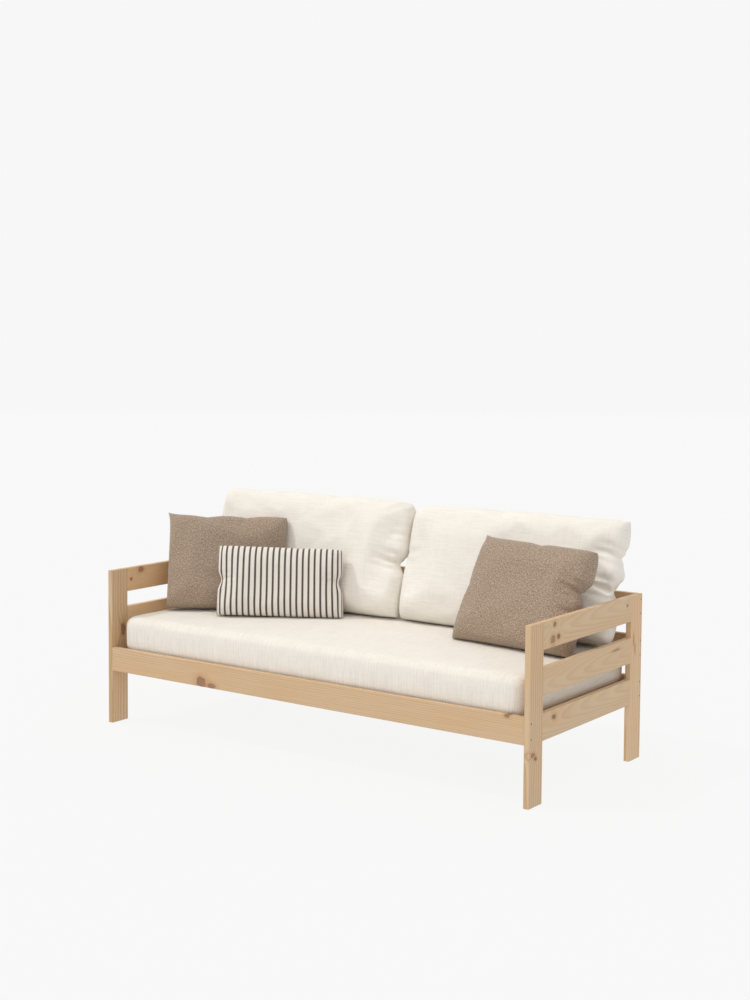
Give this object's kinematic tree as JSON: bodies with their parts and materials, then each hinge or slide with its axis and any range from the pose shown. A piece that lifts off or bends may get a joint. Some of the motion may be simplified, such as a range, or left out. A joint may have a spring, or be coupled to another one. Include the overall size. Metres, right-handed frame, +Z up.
{
  "type": "futon sofa bed",
  "caption": "Pine daybed-style futon sofa bed with slatted arms and back, a slatted base, a linen mattress seat, long back cushions and scatter cushions.",
  "frame": {"origin": "on the floor, in the middle of the wooden frame's footprint", "axes": "+X along the sofa to the right as seen from the front, +Y from the front rail towards the back rails, +Z up"},
  "size_m": [1.98, 0.8575, 0.9136],
  "materials": {
    "frame_pine": "satin",
    "base_pine": "satin",
    "beech_dowel": "satin",
    "zinc_steel": "satin",
    "mattress_linen": "matte",
    "foam_core": "matte",
    "cushion_linen": "matte",
    "brown_weave": "matte",
    "striped_cotton": "matte",
    "fibre_fill": "matte"
  },
  "bodies": {
    "frame": {"arm_dowels_left": "beech_dowel", "arm_dowels_right": "beech_dowel", "arm_left_lower_rail": "frame_pine", "arm_left_middle_rail": "frame_pine", "arm_left_top_rail": "frame_pine", "arm_right_lower_rail": "frame_pine", "arm_right_middle_rail": "frame_pine", "arm_right_top_rail": "frame_pine", "back_lower_rail": "frame_pine", "back_middle_rail": "frame_pine", "back_top_rail": "frame_pine", "front_rail": "frame_pine", "ledger_back": "base_pine", "ledger_front": "base_pine", "ledger_screws": "zinc_steel", "leg_back_left": "frame_pine", "leg_back_right": "frame_pine", "leg_front_left": "frame_pine", "leg_front_right": "frame_pine", "rail_screws_left": "zinc_steel", "rail_screws_right": "zinc_steel", "slat_01": "base_pine", "slat_02": "base_pine", "slat_03": "base_pine", "slat_04": "base_pine", "slat_05": "base_pine", "slat_06": "base_pine", "slat_07": "base_pine", "slat_08": "base_pine", "slat_09": "base_pine", "slat_10": "base_pine", "slat_11": "base_pine", "slat_12": "base_pine", "slat_13": "base_pine", "slat_14": "base_pine", "slat_screws": "zinc_steel"},
    "mattress": {"mattress_cover": "mattress_linen", "mattress_core": "foam_core"},
    "back_cushion_left": {"back_cushion_left_cover": "cushion_linen", "back_cushion_left_fill": "fibre_fill"},
    "back_cushion_right": {"back_cushion_right_cover": "cushion_linen", "back_cushion_right_fill": "fibre_fill"},
    "brown_cushion_left": {"brown_cushion_left_cover": "brown_weave", "brown_cushion_left_fill": "fibre_fill"},
    "brown_cushion_right": {"brown_cushion_right_cover": "brown_weave", "brown_cushion_right_fill": "fibre_fill"},
    "striped_cushion": {"striped_cushion_cover": "striped_cotton", "striped_cushion_fill": "fibre_fill"}
  },
  "joints": [
    {"name": "mattress_lift", "type": "slide", "parent": "frame", "child": "mattress", "axis": [0, 0, 1], "range_m": [0, 0.4]},
    {"name": "back_cushion_left_lift", "type": "slide", "parent": "mattress", "child": "back_cushion_left", "axis": [-0.0114, 0.3254, 0.9455], "range_m": [0, 0.42]},
    {"name": "back_cushion_right_lift", "type": "slide", "parent": "mattress", "child": "back_cushion_right", "axis": [0, 0.3256, 0.9455], "range_m": [0, 0.42]},
    {"name": "brown_cushion_left_lift", "type": "slide", "parent": "mattress", "child": "brown_cushion_left", "axis": [-0.1913, 0.2835, 0.9397], "range_m": [0, 0.4]},
    {"name": "brown_cushion_right_lift", "type": "slide", "parent": "mattress", "child": "brown_cushion_right", "axis": [0, 0.3256, 0.9455], "range_m": [0, 0.4]},
    {"name": "striped_cushion_lift", "type": "slide", "parent": "mattress", "child": "striped_cushion", "axis": [-0.1102, 0.1763, 0.9781], "range_m": [0, 0.4]}
  ]
}
